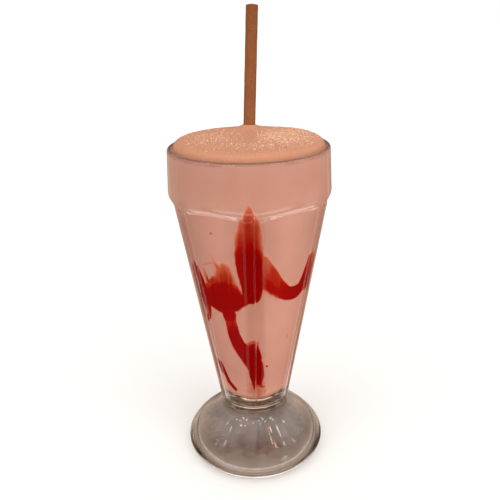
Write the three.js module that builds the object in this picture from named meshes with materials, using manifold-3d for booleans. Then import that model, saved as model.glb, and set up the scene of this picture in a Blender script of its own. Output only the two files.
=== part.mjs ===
// A strawberry milkshake in a footed soda glass: a clear pressed glass with a
// round collar, six flat panels and a domed foot, filled past the brim with
// frothy shake, with syrup run down the inside of the wall and a paper straw.
// Millimetres, +Z up. The origin is on the table, under the middle of the foot.
// Angles are measured from the front (-Y) towards the right (+X).

import * as THREE from 'three'
import { mergeVertices } from 'three/addons/utils/BufferGeometryUtils.js'
import Module from 'manifold-3d'

const wasm = await Module()
wasm.setup()

// Driving dimensions of the glass
const GLASS_HEIGHT = 195
const RIM_RADIUS = 44.2
const LIP_ROUND = 1.5
const COLLAR_RADIUS = 45.4
const COLLAR_BASE = 168.9
const RIB_RADIUS_TOP = 44.3
const RIB_RADIUS_BASE = 22.2
const PANEL_COUNT = 6
const PANEL_TOP = 166
const PANEL_BASE = 40
const PANEL_CUT_BASE = 36
const PANEL_REACH_TOP = 40.95
const PANEL_REACH_BASE = 21.45
const PANEL_LEDGE_BASE = 165.2
const PANEL_LEDGE_SLOPE = 0.8
const PANEL_TURN = 2
const NECK_RADIUS = 20
const NECK_HEIGHT = 35.4
const FOOT_RADIUS = 43.1
const FOOT_EDGE_HEIGHT = 6.3
const FOOT_SHOULDER = 33.8
const FOOT_FLARE = 3.1
const FOOT_FULLNESS = 1.36
const BASE_RING_OUTER = 36
const BASE_RING_INNER = 32.5
const BASE_RECESS = 4

// Inside of the glass: a straight taper over a round-bottomed well
const WELL_BOTTOM = 40
const WELL_SHOULDER = 47
const WELL_RADIUS = 15.6
const WALL_KNEE_HEIGHT = 166
const WALL_KNEE_RADIUS = 39
const MOUTH_RADIUS = 41.3
const MOUTH_HEIGHT = GLASS_HEIGHT - LIP_ROUND

// Shake, syrup and straw
const GAP = 0.3
const FROTH_EDGE = 191.8
const FROTH_TOP = 198.8
const FROTH_FLATNESS = 20
const MOUND_RADII = [9, 7, 2.6]
const MOUND_HEIGHT = 197.8
const SYRUP_DEPTH = 2
const SYRUP_EDGE_SHARE = 0.35
const ROOM_REACH = 3
const STRAW_RADIUS = 3.5
const STRAW_WALL = 0.5
const STRAW_FROTH_POINT = new THREE.Vector3(0.7, 29.5, 199)
const STRAW_TOP = new THREE.Vector3(3.9, 44.5, 265)
const STRAW_LOWER_END_HEIGHT = 52

// Fineness of the faceted surfaces
const ROUND_STEPS = 60
const ARC_STEPS = 6
const EDGE_STEPS = 3
const LIP_STEPS = 4
const MOUND_STEPS = 16
const STRAW_STEPS = 16
const STROKE_STEPS = 10
const STROKE_CROSS_STEPS = 4

// Each syrup stroke is a run of [angle in degrees, height, half width] stations.
const FRONT_STROKES = {
  petal: [[-1, 173.5, 0.4], [-0.6, 169.2, 2.3], [-0.9, 164, 5.4], [-1.7, 155, 7.2], [-2.4, 147, 7.4],
    [-2.2, 141, 7], [-1.4, 135, 6.3], [-0.2, 128, 5.6], [0.6, 123, 5], [0.5, 118.5, 4.4], [0.4, 115.2, 3]],
  wave: [[4, 138.5, 7], [9.5, 135, 6.6], [16, 130, 5.8], [23, 124.5, 5.2], [33, 119, 5], [43, 116.5, 4.6],
    [52, 116.2, 4.7], [58.5, 118.5, 3.9], [61.5, 124.5, 2.7], [62.6, 130, 2.1], [63.3, 136.5, 1.1]],
  blob: [[-55, 115.5, 4], [-46, 115.5, 7.8], [-34, 115.4, 10.2], [-21, 116.4, 9], [-3, 118, 3.4]],
  sweep: [[-27.4, 111, 4.6], [-27, 106, 4.4], [-26.6, 101.5, 3.8], [-25.4, 97, 4], [-23.3, 91, 4.2],
    [-19.5, 86, 4.6], [-13, 80.5, 4.9], [-5, 75.5, 4.5], [1.5, 70.5, 3.9], [3.4, 64, 3.7], [4, 58, 3.6],
    [3.8, 51.5, 2.4]],
  bar: [[2, 88, 3.8], [2.6, 82, 3.8], [3.2, 72, 3.8]],
  strip: [[-59.6, 136, 0.5], [-58.8, 130, 1.1], [-57.6, 124, 1.8], [-56.3, 118.5, 2.6], [-56, 113, 2.8],
    [-56.8, 108, 2], [-58, 102.5, 1.1], [-61.5, 97, 0.5]],
}
const STREAK_STROKES = {
  streak: [[-66, 69.5, 0.5], [-63.5, 64.5, 0.9], [-60, 58.5, 1.1], [-51.5, 52.5, 1.1], [-39, 48.4, 0.9]],
}
const BACK_STROKES = {
  petal: [[168, 170, 0.6], [168, 161, 3.6], [169, 149, 6.6], [171, 138, 6.4], [174, 127, 5], [178, 117, 3.8]],
  wave: [[160, 132, 5], [149, 123, 4.6], [136, 117, 4], [123, 118, 3.6], [114, 126, 2.4], [110, 135, 0.6]],
  sweep: [[178, 121, 4.4], [186, 110, 5.6], [199, 101, 5], [206, 91, 4.2], [203, 80, 4.4], [193, 71, 4],
    [188, 61, 3.4], [186, 51, 2.4]],
  wisp: [[188, 109, 3.6], [205, 114, 3.2], [222, 124, 2.2], [232, 136, 0.6]],
}

// Geometry and solids

function weld(geometry) {
  const plain = geometry.clone()
  plain.deleteAttribute('normal')
  plain.deleteAttribute('uv')
  const merged = mergeVertices(plain, 1e-4)
  const index = merged.getIndex().array
  const kept = []
  for (let i = 0; i < index.length; i += 3) {
    const [a, b, c] = [index[i], index[i + 1], index[i + 2]]
    if (a !== b && b !== c && c !== a) {
      kept.push(a, b, c)
    }
  }
  merged.setIndex(kept)
  return merged
}

function solidOf(geometry) {
  const welded = weld(geometry)
  return new wasm.Manifold(new wasm.Mesh({
    numProp: 3,
    vertProperties: new Float32Array(welded.getAttribute('position').array),
    triVerts: new Uint32Array(welded.getIndex().array),
  }))
}

function geometryOf(solid) {
  const { vertProperties, triVerts } = solid.getMesh()
  const geometry = new THREE.BufferGeometry()
  geometry.setAttribute('position', new THREE.BufferAttribute(vertProperties, 3))
  geometry.setIndex(new THREE.BufferAttribute(triVerts, 1))
  geometry.computeVertexNormals()
  return geometry
}

function turned(profile) {
  const points = profile.map(([radius, height]) => new THREE.Vector2(radius, height))
  const geometry = new THREE.LatheGeometry(points, ROUND_STEPS)
  geometry.rotateX(Math.PI / 2)
  return solidOf(geometry)
}

function steps(count) {
  return Array.from({ length: count + 1 }, (_, i) => i / count)
}

function mix(a, b, share) {
  return a + (b - a) * share
}

// The glass

// Radius of the inside of the wall at a height.
function wallRadius(height) {
  if (height < WELL_SHOULDER) {
    const drop = (WELL_SHOULDER - height) / (WELL_SHOULDER - WELL_BOTTOM)
    return WELL_RADIUS * Math.sqrt(Math.max(0, 1 - drop * drop))
  }
  if (height < WALL_KNEE_HEIGHT) {
    const share = (height - WELL_SHOULDER) / (WALL_KNEE_HEIGHT - WELL_SHOULDER)
    return mix(WELL_RADIUS, WALL_KNEE_RADIUS, share)
  }
  const share = (height - WALL_KNEE_HEIGHT) / (MOUTH_HEIGHT - WALL_KNEE_HEIGHT)
  return mix(WALL_KNEE_RADIUS, MOUTH_RADIUS, share)
}

// The inside from the middle of the well up to a height, set in from the wall by an inset.
function insideProfile(inset, top) {
  const well = steps(ARC_STEPS).map((share) => {
    const turn = share * Math.PI / 2
    const radius = (WELL_RADIUS - inset) * Math.sin(turn)
    const height = WELL_SHOULDER - (WELL_SHOULDER - WELL_BOTTOM - inset) * Math.cos(turn)
    return [radius, height]
  })
  const taper = [(WELL_SHOULDER + WALL_KNEE_HEIGHT) / 2, WALL_KNEE_HEIGHT, top]
    .map((height) => [wallRadius(height) - inset, height])
  return [...well, ...taper]
}

// The outside from the middle of the base recess, over the foot, up to the lip.
function outsideProfile() {
  const recess = steps(ARC_STEPS).map((share) => {
    const turn = share * Math.PI / 2
    return [BASE_RING_INNER * Math.sin(turn), BASE_RECESS * Math.cos(turn)]
  })
  const edge = steps(EDGE_STEPS).map((share) => {
    const turn = share * Math.PI / 2
    const radius = mix(BASE_RING_OUTER, FOOT_RADIUS, Math.sin(turn))
    return [radius, FOOT_EDGE_HEIGHT * (1 - Math.cos(turn))]
  })
  const dome = steps(ARC_STEPS + 2).slice(1).map((share) => {
    const turn = share * Math.PI / 2
    const radius = mix(NECK_RADIUS, FOOT_RADIUS, Math.cos(turn) ** FOOT_FLARE)
    const height = mix(FOOT_EDGE_HEIGHT, FOOT_SHOULDER, Math.sin(turn) ** FOOT_FULLNESS)
    return [radius, height]
  })
  const cove = steps(EDGE_STEPS).map((share) => {
    const turn = share * Math.PI / 2
    const radius = mix(RIB_RADIUS_BASE, NECK_RADIUS, Math.cos(turn))
    return [radius, mix(NECK_HEIGHT, PANEL_BASE, Math.sin(turn))]
  })
  const bowl = [[RIB_RADIUS_TOP, PANEL_TOP], [COLLAR_RADIUS, COLLAR_BASE]]
  const lip = steps(LIP_STEPS).slice(0, -1).map((share) => {
    const turn = share * Math.PI
    const middle = (RIM_RADIUS + MOUTH_RADIUS) / 2
    const half = (RIM_RADIUS - MOUTH_RADIUS) / 2
    return [middle + half * Math.cos(turn), MOUTH_HEIGHT + LIP_ROUND * Math.sin(turn)]
  })
  return [...recess, ...edge, ...dome, ...cove, ...bowl, ...lip]
}

// A wedge that cuts one flat panel into the round bowl, with a sloped ledge under the collar.
function panelCutter(turn) {
  const far = 1.2 * COLLAR_RADIUS
  const lean = (PANEL_REACH_TOP - PANEL_REACH_BASE) / (PANEL_TOP - PANEL_BASE)
  const ledgeReach = PANEL_REACH_TOP - lean * (PANEL_TOP - PANEL_LEDGE_BASE)
  const outline = new THREE.Shape()
  outline.moveTo(PANEL_REACH_BASE - lean * (PANEL_BASE - PANEL_CUT_BASE), PANEL_CUT_BASE)
  outline.lineTo(far, PANEL_CUT_BASE)
  outline.lineTo(far, PANEL_LEDGE_BASE + PANEL_LEDGE_SLOPE * (far - ledgeReach))
  outline.lineTo(ledgeReach, PANEL_LEDGE_BASE)
  const geometry = new THREE.ExtrudeGeometry(outline, { depth: 2 * far, bevelEnabled: false })
  geometry.translate(0, 0, -far)
  geometry.rotateX(Math.PI / 2)
  geometry.rotateZ(turn)
  return solidOf(geometry)
}

function glassGeometry() {
  const inside = insideProfile(0, MOUTH_HEIGHT).reverse()
  let solid = turned([...outsideProfile(), ...inside])
  for (let i = 0; i < PANEL_COUNT; i += 1) {
    solid = solid.subtract(panelCutter((2 * Math.PI * i) / PANEL_COUNT))
  }
  const geometry = geometryOf(solid)
  geometry.rotateZ(THREE.MathUtils.degToRad(PANEL_TURN))
  return geometry
}

// The straw

const strawAxis = STRAW_TOP.clone().sub(STRAW_FROTH_POINT).normalize()
const strawDrop = (STRAW_FROTH_POINT.z - STRAW_LOWER_END_HEIGHT) / strawAxis.z
const strawLowerEnd = STRAW_FROTH_POINT.clone().addScaledVector(strawAxis, -strawDrop)
const strawLength = STRAW_TOP.distanceTo(strawLowerEnd)
const strawTurn = new THREE.Quaternion().setFromUnitVectors(new THREE.Vector3(0, 0, 1), strawAxis)

function strawGeometry() {
  const section = new THREE.Shape().absarc(0, 0, STRAW_RADIUS, 0, 2 * Math.PI)
  section.holes.push(new THREE.Path().absarc(0, 0, STRAW_RADIUS - STRAW_WALL, 0, 2 * Math.PI))
  return weld(new THREE.ExtrudeGeometry(section, {
    depth: strawLength,
    bevelEnabled: false,
    curveSegments: STRAW_STEPS,
  }))
}

// The room that the straw takes up in the shake.
function strawRoom() {
  const geometry = new THREE.CylinderGeometry(
    STRAW_RADIUS + GAP, STRAW_RADIUS + GAP, strawLength + GAP, STRAW_STEPS)
  geometry.rotateX(Math.PI / 2)
  geometry.translate(0, 0, (strawLength - GAP) / 2)
  geometry.applyQuaternion(strawTurn)
  geometry.translate(...strawLowerEnd)
  return solidOf(geometry)
}

// The syrup

// One stroke of syrup on the inside of the wall: a block of unit size is bent along the
// stations, its outer face on the wall and its inner face bulging into the shake. A
// spread above 0 widens it all round and past the side of the shake, which makes the room
// that it takes up there.
function strokeSolid(stations, spread) {
  const path = new THREE.CatmullRomCurve3(stations.map((station) => new THREE.Vector3(...station)))
  const block = new THREE.BoxGeometry(1, 1, 1, STROKE_CROSS_STEPS, 1, STROKE_STEPS)
  const place = block.getAttribute('position')
  for (let i = 0; i < place.count; i += 1) {
    const across = 2 * place.getX(i)
    const outward = place.getY(i) > 0
    const along = place.getZ(i) + 0.5
    const [angle, height, halfWidth] = path.getPoint(along)
    const slope = path.getTangent(along)
    const arc = THREE.MathUtils.degToRad(1) * wallRadius(height)
    const heading = new THREE.Vector2(slope.x * arc, slope.y).normalize()
    const ahead = along === 0 ? -spread : along === 1 ? spread : 0
    const aside = across * (halfWidth + spread)
    const level = height + heading.y * ahead + heading.x * aside
    const turn = THREE.MathUtils.degToRad(angle + (heading.x * ahead - heading.y * aside) / arc)
    const bulge = SYRUP_DEPTH * mix(1, SYRUP_EDGE_SHARE, across * across) + spread
    const radius = wallRadius(level) - GAP + (outward ? ROOM_REACH * spread : -bulge)
    place.setXYZ(i, radius * Math.sin(turn), -radius * Math.cos(turn), level)
  }
  return solidOf(block)
}

function syrupSolid(strokes, spread) {
  return Object.values(strokes)
    .map((stations) => strokeSolid(stations, spread))
    .reduce((whole, stroke) => whole.add(stroke))
}

// The shake

// The froth stands above the rim: nearly flat, and rounding down steeply close to the wall.
function frothProfile() {
  const reach = wallRadius(FROTH_EDGE) - GAP
  return steps(ARC_STEPS).slice(1).map((step) => {
    const share = 1 - step * step
    const rise = Math.cbrt(1 - share ** FROTH_FLATNESS)
    return [reach * share, mix(FROTH_EDGE, FROTH_TOP, rise)]
  })
}

function shakeGeometry() {
  const body = turned([...insideProfile(GAP, FROTH_EDGE), ...frothProfile()])
  const mound = new THREE.SphereGeometry(1, MOUND_STEPS, MOUND_STEPS / 2)
  mound.scale(...MOUND_RADII)
  mound.translate(STRAW_FROTH_POINT.x, STRAW_FROTH_POINT.y, MOUND_HEIGHT)
  const cut = [FRONT_STROKES, STREAK_STROKES, BACK_STROKES]
    .map((strokes) => syrupSolid(strokes, GAP))
    .reduce((whole, room) => whole.subtract(room), body.add(solidOf(mound)))
  return geometryOf(cut.subtract(strawRoom()))
}

// The scene graph

function finish(color, roughness) {
  return new THREE.MeshStandardMaterial({ color, roughness, metalness: 0 })
}

function piece(name, geometry, material) {
  const mesh = new THREE.Mesh(geometry, material)
  mesh.name = name
  return mesh
}

const clearGlass = finish(0xb5a99f, 0.05)
clearGlass.transparent = true
clearGlass.opacity = 0.4
const shakePink = finish(0xd69a86, 0.55)
const syrupRed = finish(0x8c0a0a, 0.3)
const strawBrown = finish(0x94583a, 0.8)

const milkshake = new THREE.Group()
milkshake.add(piece('glass', glassGeometry(), clearGlass))
milkshake.add(piece('shake', shakeGeometry(), shakePink))
milkshake.add(piece('syrup_front', geometryOf(syrupSolid(FRONT_STROKES, 0)), syrupRed))
milkshake.add(piece('syrup_streak', geometryOf(syrupSolid(STREAK_STROKES, 0)), syrupRed))
milkshake.add(piece('syrup_back', geometryOf(syrupSolid(BACK_STROKES, 0)), syrupRed))

const straw = piece('straw', strawGeometry(), strawBrown)
straw.position.copy(strawLowerEnd)
straw.quaternion.copy(strawTurn)
milkshake.add(straw)

export default milkshake
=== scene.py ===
import math

import bpy
import numpy as np
from mathutils import Matrix, Vector


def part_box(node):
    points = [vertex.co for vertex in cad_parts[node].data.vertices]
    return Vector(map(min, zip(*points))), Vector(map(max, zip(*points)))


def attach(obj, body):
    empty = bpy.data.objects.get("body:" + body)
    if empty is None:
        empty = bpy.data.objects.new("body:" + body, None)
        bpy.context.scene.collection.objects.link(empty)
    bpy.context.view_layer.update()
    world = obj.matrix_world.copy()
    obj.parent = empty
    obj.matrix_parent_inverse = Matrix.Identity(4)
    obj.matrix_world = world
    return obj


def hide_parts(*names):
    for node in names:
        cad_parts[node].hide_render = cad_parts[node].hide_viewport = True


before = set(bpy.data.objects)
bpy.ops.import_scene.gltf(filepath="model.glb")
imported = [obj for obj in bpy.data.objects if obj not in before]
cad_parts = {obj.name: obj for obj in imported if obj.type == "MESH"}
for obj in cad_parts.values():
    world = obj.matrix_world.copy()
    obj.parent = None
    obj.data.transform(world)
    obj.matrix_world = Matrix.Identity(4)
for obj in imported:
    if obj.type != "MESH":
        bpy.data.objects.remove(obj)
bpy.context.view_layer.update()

# Sizes are in millimetres, as in the solids. Angles run from the front (-Y) towards the right (+X).
MM = 0.001

# The glass
GLASS_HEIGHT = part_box("glass")[1][2] / MM
RIM_RADIUS = 44.2
LIP_ROUND = 1.5
COLLAR_RADIUS = 45.4
COLLAR_BASE = 168.4
COLLAR_CHAMFER = (44.1, 166.5)
RIB_FLARE = (163.0, 170.0)
RIB_RADIUS_TOP = 44.3
RIB_RADIUS_BASE = 22.2
PANEL_COUNT = 6
PANEL_TOP = 166.0
PANEL_BASE = 40.0
PANEL_CUT_BASE = 36.0
PANEL_REACH_TOP = 40.95
PANEL_REACH_BASE = 21.45
PANEL_LEAN = (PANEL_REACH_TOP - PANEL_REACH_BASE) / (PANEL_TOP - PANEL_BASE)
PANEL_LEDGE_BASE = 164.6
PANEL_LEDGE_ARCH = 2.0
PANEL_TURN = math.radians(2)
SECTOR = 2 * math.pi / PANEL_COUNT
EDGE_SOFTNESS = 0.22
LEDGE_SOFTNESS = 0.35
LEDGE_SOFTENING = (PANEL_TOP - 4, PANEL_TOP + 1)
NECK_RADIUS = 20.0
NECK_HEIGHT = 35.4
FOOT_RADIUS = 43.1
FOOT_EDGE_HEIGHT = 6.3
FOOT_SHOULDER = 33.8
FOOT_FLARE = 3.1
FOOT_FULLNESS = 1.36
BASE_RING_OUTER = 36.0
BASE_RING_INNER = 32.5
BASE_RECESS = 4.0

# The inside of the glass
WELL_BOTTOM = 40.0
WELL_SHOULDER = 47.0
WELL_RADIUS = 15.6
WALL_KNEE_HEIGHT = 166.0
WALL_KNEE_RADIUS = 39.0
MOUTH_RADIUS = 41.3
MOUTH_HEIGHT = GLASS_HEIGHT - LIP_ROUND

# Rows of points along each stretch of the glass's outline, and columns over a rib and over a panel.
# The bowl's rows are runs of [lowest, highest, count], closest together over the ledges.
RECESS_ROWS = 34
EDGE_ROWS = 14
FOOT_ROWS = 48
COVE_ROWS = 16
BOWL_ROWS = [
    (PANEL_BASE + 0.2, PANEL_BASE + 3, 8),
    (46, 160, 26),
    (161, 172, 44),
    (174, MOUTH_HEIGHT - 0.5, 8),
]
LIP_ROWS = 20
INSIDE_ROWS = 40
WELL_ROWS = 24
RIB_COLUMNS = 14
RIB_CROWDING = 1.6
PANEL_COLUMNS = 26

# Marks of the mould and of use. Waves are layers of [height, grain, how far drawn out, seed], wear is a
# share of the base's roughness, and painted shade is how much the glass's colour darkens the light that goes
# through a place, standing in for the shade seen through the ribs and the lip.
SEAM_HEIGHT = 0.014
SEAM_WIDTH = 0.35
SEAM_RISE = (FOOT_SHOULDER + 1, PANEL_BASE)
RECESS_WAVES = [(0.4, 8, 1, 31), (0.15, 2.6, 1, 32)]
FOOT_WAVES = [(0.3, 6, 1, 33)]
FOOT_WAVE_RISE = (FOOT_EDGE_HEIGHT, FOOT_EDGE_HEIGHT + 6)
FOOT_WAVE_END = NECK_RADIUS + 0.3
GLASS_WAVE_SHIFT = 200
BASE_ROUGHNESS = 0.28
NECK_WEAR = 0.3
FOOT_WEAR = 0.55
FOOT_WEAR_FADE = (19.0, 14.5)
# A pale matt band in the foot: radius, width and height of its section, and its columns and sides
PALE_BAND_RADIUS = 31.8
PALE_BAND_WIDTH = 1.2
PALE_BAND_HEIGHT = 1.15
PALE_BAND_COLUMNS = 192
PALE_BAND_SIDES = 12
# Painted shade: the ribs and the top of the lip darken what is seen behind them, through the glass's colour
RIB_PAINTED_SHADE = 0.6
RIB_PAINTED_SHADE_EDGE = 0.5
RIB_PAINTED_SHADE_END = (PANEL_TOP + 2, PANEL_TOP - 3)
LIP_PAINTED_SHADE_RISE = (MOUTH_HEIGHT + 0.5, MOUTH_HEIGHT + 1.2)

# How far the shake and the syrup reach into the wall, so that no air shows behind the glass
SHAKE_BITE = 0.08
SYRUP_BITE = 0.16

# The shake and its froth
SHAKE_COLUMNS = 480
SHAKE_WELL_ROWS = 20
SHAKE_SIDE_ROWS = 40
FROTH_ROWS = 90
FROTH_CROWDING = 1.35
FROTH_EDGE = 191.8
FROTH_TOP = 198.8
FROTH_FLATNESS = 20
FROTH_CALM_EDGE = 4.0
FROTH_SWELLS = [(0.7, 17, 1, 3)]
FROTH_GRAIN = [(0.35, 1.6, 1, 4), (0.2, 0.8, 1, 5)]
FROTH_WAVE_SHIFT = 90
MOUND_HEIGHT = 2.0
MOUND_REACH = 2.6
MOUND_FALL = 1.3

# Bubbly patches of the froth: share, middle to the right and to the back, and reach both ways
BUBBLY_LEAST = 0.08
BUBBLY_PATCHES = [(1, 19, 3, 17, 23), (0.4, -20, -2, 15, 20), (0.35, 3, -24, 15, 8)]
SMOOTH_STRIP = (0.85, 1, 7, 5.5, 18)

# The bubbles: places drawn at random, the share of them that is kept, and the sizes drawn for those
BUBBLE_SEED = 11
BUBBLE_PLACES = 60000
BUBBLE_REACH = 38.5
BUBBLE_SHARE = 0.25
BUBBLE_GATHERING = 1.4
BUBBLE_STRAW_GAP = 0.6
BUBBLE_RADIUS = 0.16
BUBBLE_RADIUS_SPREAD = 0.4
BUBBLE_RADIUS_LIMITS = (0.09, 0.5)
BUBBLE_SIDES = 5
BUBBLE_ROWS = 2
BUBBLE_SKIRT = -0.25

# The straw
STRAW_RADIUS = 3.5
STRAW_WALL = 0.5
STRAW_FROTH_POINT = np.array([0.7, 29.5, 199.0])
STRAW_TOP = np.array([3.9, 44.5, 265.0])
STRAW_LOWER_END_HEIGHT = 52.0
STRAW_SIDES = 64
STRAW_OUTER_ROWS = 420
STRAW_INNER_ROWS = 40
STRAW_END_LENGTH = 0.15
STRAW_END_INSET = 0.1
STRAW_WINDING = 16.0
STRAW_LAP = 0.07
STRAW_LAP_SHARE = 0.03
STRAW_LAP_INSET = 0.03

# Camera, from the photograph's perspective: pinhole place, downward pitch, roll and lens
CAMERA_PLACE = (-0.7, -311.0, 259.4)
CAMERA_PITCH = math.radians(22.07)
CAMERA_ROLL = math.radians(1.44)
CAMERA_LENS = 41.54
CAMERA_SENSOR = 36
CAMERA_CLIP = (0.01, 30)

# The floor: radius of its outer and inner rings, its sides, and the light that it throws back
FLOOR_RADII = (14000.0, 500.0)
FLOOR_SIDES = 64
FLOOR_BOUNCE = (1.0, 0.99, 0.97)

# Broad soft lights: name, azimuth from the front and elevation in degrees, and power
SUNS = [("key", 44, 25, 1.8), ("fill", -52, 25, 1.2), ("top", 0, 85, 1.0)]
SUN_SPREAD = math.radians(60)
SUN_COLOUR = (1, 0.976, 0.944)

# Cards that the glass mirrors: brightness, and the directions that bound each card with their low end,
# high end and softness. x points right, y back and z up, aside is x over the way forwards, and astern
# is y over x.
CARD_GLOW = 2.5
STRIP_CARD = (0.18, {"aside": (0.48, 1.15, 0.06), "z": (-0.85, -0.45, 0.05)})
SIDE_CARD = (0.38, {"astern": (-0.24, 0.2, 0.04), "z": (-0.85, -0.25, 0.05)})
LOW_CARD = (1.0, {"z": (-0.57, -0.25, 0.02), "y": (-1.1, -0.55, 0.1)})
UNDER_CARD = (0.9, {"z": (-1.1, -0.6, 0.05), "y": (-0.12, 0.45, 0.05), "x": (-0.65, 0.65, 0.05)})
NADIR_CARD = (0.85, {"z": (-1.1, -0.94, 0.02), "y": (-0.02, 0.4, 0.03)})
WHITE_CARD_COLOUR = (1, 0.93, 0.86)
UNDER_CARD_COLOUR = (1, 0.95, 0.9)
NADIR_CARD_COLOUR = (1, 0.88, 0.76)

# A mirror turns what it shows by twice its own turn
ROOM_TURN = 2 * PANEL_TURN

# Small bright lights that only the glass mirrors: azimuth from the front, elevation and spread in degrees,
# brightness and colour
GLINTS = [
    (-84, 33, 1.8, 7, (1, 0.97, 0.94)),
    (-70, 40, 1.4, 9, (1, 1, 1)),
    (-62, 31, 1.8, 9, (1, 1, 1)),
    (-50, 34, 1.6, 9, (1, 0.97, 0.94)),
    (-44, 41, 1.6, 10, (1, 0.97, 0.94)),
    (-36, 31, 2.2, 12, (1, 1, 1)),
    (-31, 44, 1.4, 9, (1, 1, 1)),
    (-25, 35, 1.8, 12, (1, 1, 1)),
    (-20, 29, 1.4, 10, (1, 0.95, 0.9)),
    (-9, 42, 1.3, 10, (0.9, 0.95, 1)),
    (8, 39, 1.6, 11, (0.85, 0.92, 1)),
    (14, 45, 1.3, 10, (0.85, 0.92, 1)),
    (18, 30, 1.6, 10, (1, 0.95, 0.9)),
    (24, 35, 1.8, 12, (1, 1, 1)),
    (33, 40, 1.7, 11, (0.85, 0.92, 1)),
    (50, 31, 2.4, 14, (0.85, 0.92, 1)),
    (58, 35, 1.6, 10, (0.9, 0.95, 1)),
    (66, 42, 1.5, 9, (1, 0.97, 0.94)),
    (84, 33, 1.6, 7, (1, 0.95, 0.9)),
    (41, 50, 1.2, 14, (1, 0.6, 0.35)),
    (47, 47, 1.6, 14, (1, 0.6, 0.35)),
]
GLINT_EDGE = (1.3, 0.7)


# Shaping helpers

LATTICE_SIZE = 64


def mix(low, high, share):
    """The value at a share of the way from low to high."""
    return low + (high - low) * share


def smoothstep(low, high, value):
    """A smooth rise from 0 at low to 1 at high, or a fall where low is the greater."""
    share = np.clip((value - low) / (high - low), 0, 1)
    return share * share * (3 - 2 * share)


def soft_min(first, second, softness):
    """The lesser of two arrays, with the corner where they cross rounded over by the softness."""
    least = np.minimum(first, second)
    return least - softness * np.log1p(np.exp(-np.abs(first - second) / softness))


def noise(across, along, grain, seed):
    """Smooth noise from 0 to 1: random values on a square lattice of that grain, blended between them."""
    lattice = np.random.default_rng(seed).random((LATTICE_SIZE, LATTICE_SIZE))
    u, v = across / grain, along / grain
    column, row = np.floor(u).astype(int), np.floor(v).astype(int)
    fu, fv = smoothstep(0, 1, u - column), smoothstep(0, 1, v - row)
    left, right, low, high = (place % LATTICE_SIZE for place in (column, column + 1, row, row + 1))
    lower = mix(lattice[low, left], lattice[low, right], fu)
    upper = mix(lattice[high, left], lattice[high, right], fu)
    return mix(lower, upper, fv)


def ripples(across, along, layers):
    """Unevenness about zero: the sum of layers of noise, each of a height, grain, drawing out and seed."""
    return sum(height * (noise(across, along / drawn_out, grain, seed) - 0.5)
               for height, grain, drawn_out, seed in layers)


def full_turn(count):
    """Evenly spaced angles once round, without the last, which is the first again."""
    return np.linspace(0, 2 * math.pi, count + 1)[:-1]


def round_points(radius, angle, height):
    """Points at a radius, an angle from the front and a height."""
    radius, angle, height = np.broadcast_arrays(radius, angle, height)
    return np.stack([radius * np.sin(angle), -radius * np.cos(angle), height], axis=-1)


def ring_quads(rows, columns, first):
    """Quads between neighbouring rings of points, closed round the seam, from the first point's index."""
    row = np.arange(rows - 1)[:, None]
    column = np.arange(columns)[None, :]
    after = (column + 1) % columns
    corners = [row * columns + column, row * columns + after,
               (row + 1) * columns + after, (row + 1) * columns + column]
    return np.stack([np.broadcast_to(c, (rows - 1, columns)) for c in corners], -1).reshape(-1, 4) + first


def capped_rings(points):
    """A closed skin from rings of points whose first and last rings are each a single point."""
    rows, columns = points.shape[:2]
    skin = np.concatenate([points[0, :1], points[1:-1].reshape(-1, 3), points[-1, :1]])
    column = np.arange(columns)
    after = (column + 1) % columns
    last_ring = 1 + (rows - 3) * columns
    pole = np.zeros(columns, int)
    start_fan = np.stack([pole, after + 1, column + 1], -1)
    end_fan = np.stack([pole + len(skin) - 1, last_ring + column, last_ring + after], -1)
    return skin, [ring_quads(rows - 2, columns, 1), start_fan, end_fan]


def capped_values(rows):
    """Values of the points of a closed skin, from rings of values as they were before it was closed."""
    return np.concatenate([rows[0, :1], rows[1:-1].ravel(), rows[-1, :1]])


def put_mesh(name, points, faces, material, **point_values):
    """A smooth mesh object from points in millimetres and arrays of faces, with any values per point."""
    mesh = bpy.data.meshes.new(name)
    corners = np.concatenate([part.ravel() for part in faces]).astype(np.int32)
    sizes = np.concatenate([np.full(len(part), part.shape[1]) for part in faces])
    starts = (np.cumsum(sizes) - sizes).astype(np.int32)
    mesh.vertices.add(len(points))
    mesh.vertices.foreach_set("co", (points * MM).astype(np.float32).ravel())
    mesh.loops.add(len(corners))
    mesh.loops.foreach_set("vertex_index", corners)
    mesh.polygons.add(len(starts))
    mesh.polygons.foreach_set("loop_start", starts)
    mesh.polygons.foreach_set("use_smooth", np.ones(len(starts), bool))
    for key, values in point_values.items():
        attribute = mesh.attributes.new(key, "FLOAT", "POINT")
        attribute.data.foreach_set("value", values.astype(np.float32).ravel())
    mesh.update(calc_edges=True)
    mesh.materials.append(material)
    piece = bpy.data.objects.new(name, mesh)
    bpy.context.scene.collection.objects.link(piece)
    return piece


def wall_radius(height):
    """Radius of the inside of the glass: a round-bottomed well, a straight taper and a steeper mouth."""
    drop = np.clip((WELL_SHOULDER - height) / (WELL_SHOULDER - WELL_BOTTOM), 0, 1)
    well = WELL_RADIUS * np.sqrt(1 - drop * drop)
    taper = np.interp(height, [WELL_SHOULDER, WALL_KNEE_HEIGHT, MOUTH_HEIGHT],
                      [WELL_RADIUS, WALL_KNEE_RADIUS, MOUTH_RADIUS])
    return np.where(height < WELL_SHOULDER, well, taper)


# The glass

def panel_reach(height):
    """Distance of a panel's plane from the axis, which leans outwards as it rises."""
    return np.interp(height, [0, PANEL_TOP], [PANEL_REACH_BASE - PANEL_LEAN * PANEL_BASE, PANEL_REACH_TOP])


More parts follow.
